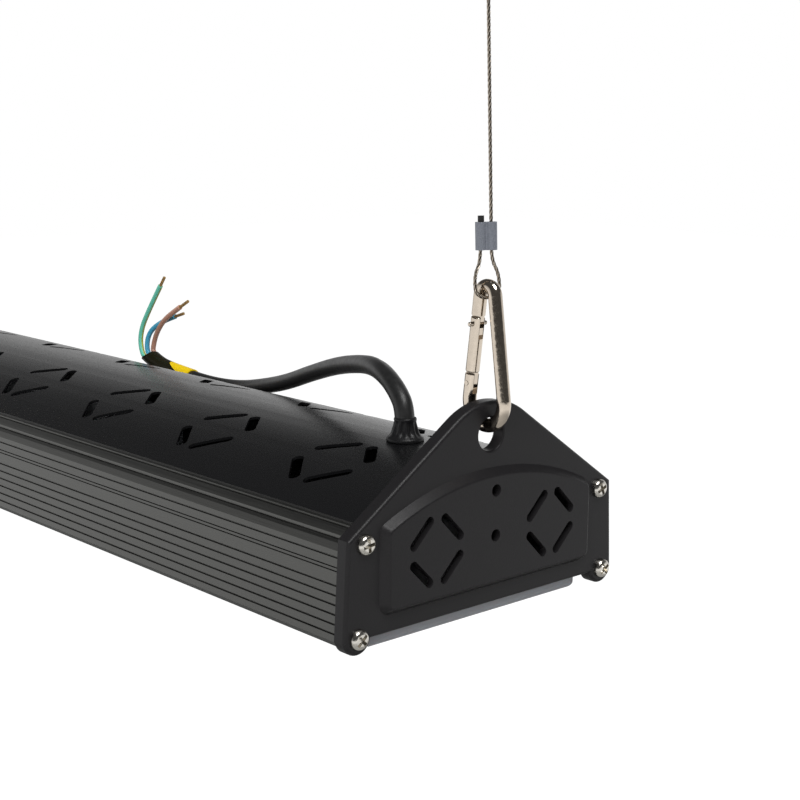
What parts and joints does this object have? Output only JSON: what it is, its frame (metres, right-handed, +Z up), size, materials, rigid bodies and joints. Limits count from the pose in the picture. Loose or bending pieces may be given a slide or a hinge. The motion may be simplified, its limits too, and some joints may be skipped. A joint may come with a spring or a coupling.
{
  "type": "high bay light",
  "caption": "Linear high bay light in a ribbed metal housing with a vented curved roof, hung by its end plates on sprung carabiners and wire ropes, with a short mains cable.",
  "frame": {"origin": "midway between the tops of the two ceiling eyes of the wire ropes, where they hang on their hooks", "axes": "+X along the housing towards the end with the mains cable, +Y across it towards the side where the cable lies, +Z up"},
  "size_m": [0.6104, 0.1596, 0.2927],
  "materials": {
    "plate_paint": "matte",
    "rail_finish": "matte grey coating",
    "roof_paint": "satin",
    "bare_aluminium": "mill finish",
    "lens_plastic": "frosted",
    "gasket_rubber": "matte",
    "board_white": "gloss",
    "chip_yellow": "gloss",
    "driver_metal": "satin",
    "terminal_plastic": "gloss",
    "screw_steel": "nickel plated",
    "gland_plastic": "matte",
    "cable_jacket": "matte",
    "wrap_yellow": "satin",
    "core_earth": "green with a yellow stripe",
    "core_neutral": "blue",
    "core_live": "brown",
    "copper": "bare copper",
    "hook_steel": "nickel plated",
    "rope_steel": "stranded wire",
    "ferrule_metal": "matte",
    "sleeve_black": "satin"
  },
  "bodies": {
    "suspension": {"front_rope": "rope_steel", "front_ferrules": "ferrule_metal", "front_rope_sleeves": "sleeve_black", "front_carabiner": "hook_steel", "front_gate_rivet": "hook_steel", "rear_rope": "rope_steel", "rear_ferrules": "ferrule_metal", "rear_rope_sleeves": "sleeve_black", "rear_carabiner": "hook_steel", "rear_gate_rivet": "hook_steel"},
    "luminaire": {"front_end_plate": "plate_paint", "rear_end_plate": "plate_paint", "front_end_screws": "screw_steel", "rear_end_screws": "screw_steel", "right_side_rail": "rail_finish", "left_side_rail": "rail_finish", "roof_cover": "roof_paint", "lens_cover": "lens_plastic", "lens_gasket": "gasket_rubber", "led_tray": "bare_aluminium", "led_boards": "board_white", "led_chips": "chip_yellow", "driver_case": "driver_metal", "driver_screws": "screw_steel", "terminal_block": "terminal_plastic", "strain_relief": "gland_plastic", "relief_nut": "gland_plastic", "mains_cable": "cable_jacket", "cable_label": "wrap_yellow", "earth_core": "core_earth", "neutral_core": "core_neutral", "live_core": "core_live", "copper_ends": "copper"},
    "front_gate": {"front_gate": "hook_steel", "front_latch_pin": "hook_steel"},
    "rear_gate": {"rear_gate": "hook_steel", "rear_latch_pin": "hook_steel"}
  },
  "joints": [
    {"name": "housing_swing", "type": "hinge", "parent": "suspension", "child": "luminaire", "pos_m": [0, 0, -0.2115], "axis": [1, 0, 0], "range_deg": [-30, 30]},
    {"name": "front_gate_hinge", "type": "hinge", "parent": "suspension", "child": "front_gate", "pos_m": [0.28435, 0, -0.19549], "axis": [0, 1, 0], "range_deg": [0, 9], "stiffness_Nm_per_rad": 0.3, "springref_deg": -8.59},
    {"name": "rear_gate_hinge", "type": "hinge", "parent": "suspension", "child": "rear_gate", "pos_m": [-0.28435, 0, -0.19549], "axis": [0, -1, 0], "range_deg": [0, 9], "stiffness_Nm_per_rad": 0.3, "springref_deg": -8.59}
  ]
}
